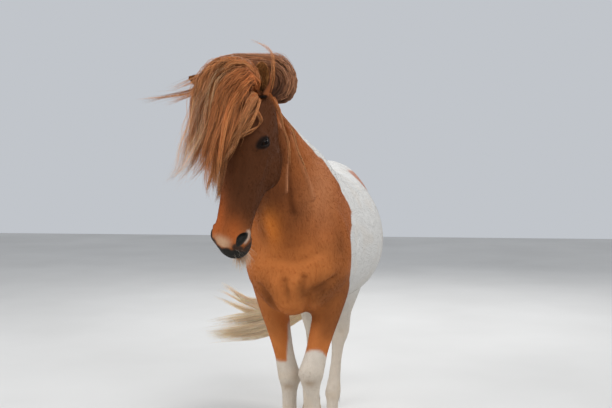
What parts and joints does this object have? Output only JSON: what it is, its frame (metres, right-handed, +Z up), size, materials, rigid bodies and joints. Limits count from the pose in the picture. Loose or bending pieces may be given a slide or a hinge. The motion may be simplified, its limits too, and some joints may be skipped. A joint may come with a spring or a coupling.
{
  "type": "icelandic horse model",
  "caption": "Life-size standing icelandic horse in mid step, head turned to its right, forelock, mane and tail blown to its right, one forefoot resting on its toe.",
  "frame": {"origin": "on the floor, under the middle of the outline seen from above", "axes": "+Z up, -Y the way the horse faces, +X its left side"},
  "size_m": [1.0786, 2.1504, 1.7112],
  "materials": {
    "chestnut_coat": "short ginger chestnut hair with a low sheen",
    "white_coat": "short white hair with a low sheen",
    "flaxen_hair": "long cream hair",
    "eye": "wet dark brown",
    "horn": "worn striped horn"
  },
  "bodies": {
    "root": {"torso": "white_coat", "neck": "chestnut_coat", "head": "chestnut_coat", "ear_left": "chestnut_coat", "ear_right": "chestnut_coat", "eye_left": "eye", "eye_right": "eye", "tail_upper": "flaxen_hair", "tail_lower": "flaxen_hair", "leg_fore_left_upper": "chestnut_coat", "leg_fore_left_lower": "white_coat", "leg_fore_right_upper": "chestnut_coat", "leg_fore_right_lower": "white_coat", "leg_hind_left_upper": "white_coat", "leg_hind_left_lower": "white_coat", "leg_hind_right_upper": "white_coat", "leg_hind_right_lower": "white_coat", "hoof_fore_left": "horn", "hoof_fore_right": "horn", "hoof_hind_left": "horn", "hoof_hind_right": "horn"}
  },
  "joints": []
}
